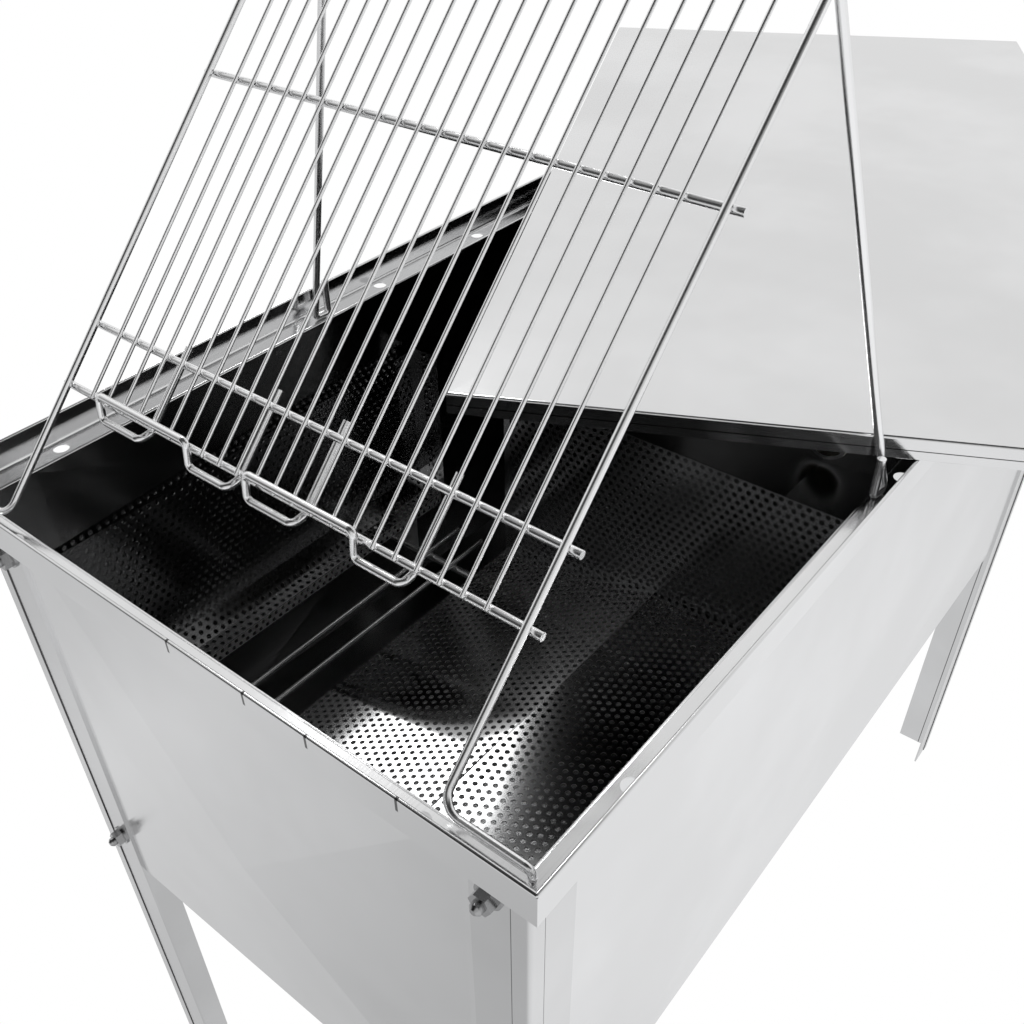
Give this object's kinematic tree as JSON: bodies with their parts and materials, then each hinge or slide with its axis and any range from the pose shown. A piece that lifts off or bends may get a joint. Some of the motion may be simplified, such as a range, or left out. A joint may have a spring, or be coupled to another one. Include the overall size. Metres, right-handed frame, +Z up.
{
  "type": "uncapping tank",
  "caption": "Open steel uncapping tank on angle legs, with a wire frame rack on folding props, perforated sieve trays, a loose lid laid askew and a honey gate.",
  "frame": {"origin": "middle of the bounding box on the floor", "axes": "+Z up, +Y from the near end with the rack towards the far end with the gate, +X to the right seen from the near end"},
  "size_m": [0.9348, 1.4176, 1.1501],
  "materials": {
    "lid_steel": "bright rolled sheet with a cross-break",
    "tank_steel": "rolled stainless sheet",
    "floor_steel": "rolled stainless sheet",
    "fastener_steel": "bright fastener",
    "leg_steel": "folded stainless angle",
    "rod_steel": "polished round wire",
    "sieve_steel": "perforated stainless sheet",
    "seal_rubber": "soft black",
    "gate_plastic": "moulded, off-white",
    "collar_steel": "turned"
  },
  "bodies": {
    "tank": {"rim_ledge": "tank_steel", "rim_lip": "tank_steel", "wall_near": "tank_steel", "wall_far": "tank_steel", "wall_left": "tank_steel", "wall_right": "tank_steel", "tank_floor": "floor_steel", "sieve_cross_rods": "rod_steel", "sieve_long_rods": "rod_steel", "leg_near_left": "leg_steel", "leg_near_right": "leg_steel", "leg_far_left": "leg_steel", "leg_far_right": "leg_steel", "leg_studs": "fastener_steel", "leg_washers": "fastener_steel", "leg_nuts": "fastener_steel", "outlet_collar": "collar_steel", "gate_body": "gate_plastic", "gate_seal": "seal_rubber", "gate_pivot": "fastener_steel", "clamp_stud": "fastener_steel"},
    "lid": {"lid_top": "lid_steel", "lid_edge": "lid_steel"},
    "rack": {"rack_rod_left": "rod_steel", "rack_rod_right": "rod_steel", "rack_bars": "rod_steel", "rack_top_bar": "rod_steel", "rack_wires": "rod_steel", "frame_rest_left": "rod_steel", "frame_rest_right": "rod_steel"},
    "prop_left": {"prop_left": "rod_steel"},
    "prop_right": {"prop_right": "rod_steel"},
    "sieve_right": {"sieve_right_side": "sieve_steel", "sieve_right_floor": "sieve_steel", "sieve_right_slope": "sieve_steel", "sieve_right_folds": "sieve_steel", "sieve_right_ends": "sieve_steel"},
    "sieve_left": {"sieve_left_side": "sieve_steel", "sieve_left_folds": "sieve_steel", "sieve_left_ends": "sieve_steel"},
    "gate_blade": {"gate_blade": "gate_plastic"},
    "wing_nut": {"wing_nut": "fastener_steel"}
  },
  "joints": [
    {"name": "lid_lift", "type": "slide", "parent": "tank", "child": "lid", "axis": [0, 0, 1], "range_m": [0, 0.15]},
    {"name": "rack_tilt", "type": "hinge", "parent": "tank", "child": "rack", "pos_m": [0.02249, -0.69178, 0.811], "axis": [1, 0, 0], "range_deg": [0, 50]},
    {"name": "prop_left_swing", "type": "hinge", "parent": "rack", "child": "prop_left", "pos_m": [-0.15551, -0.36229, 1.13916], "axis": [1, 0, 0], "range_deg": [-40, 0]},
    {"name": "prop_right_swing", "type": "hinge", "parent": "rack", "child": "prop_right", "pos_m": [0.19449, -0.36229, 1.13916], "axis": [1, 0, 0], "range_deg": [-40, 0]},
    {"name": "sieve_right_lift", "type": "slide", "parent": "tank", "child": "sieve_right", "axis": [0, 0, 1], "range_m": [0, 0.06]},
    {"name": "sieve_left_lift", "type": "slide", "parent": "tank", "child": "sieve_left", "axis": [0, 0, 1], "range_m": [0, 0.06]},
    {"name": "gate_swing", "type": "hinge", "parent": "tank", "child": "gate_blade", "pos_m": [-0.02551, 0.31542, 0.444], "axis": [0, -1, 0], "range_deg": [0, 90]},
    {"name": "wing_nut_turn", "type": "hinge", "parent": "tank", "child": "wing_nut", "pos_m": [0.07049, 0.32142, 0.444], "axis": [0, 1, 0], "range_deg": [0, 180]}
  ],
  "couplings": [
    {"joint": "prop_left_swing", "follows": "rack_tilt", "ratio": -0.8},
    {"joint": "prop_right_swing", "follows": "rack_tilt", "ratio": -0.8}
  ]
}
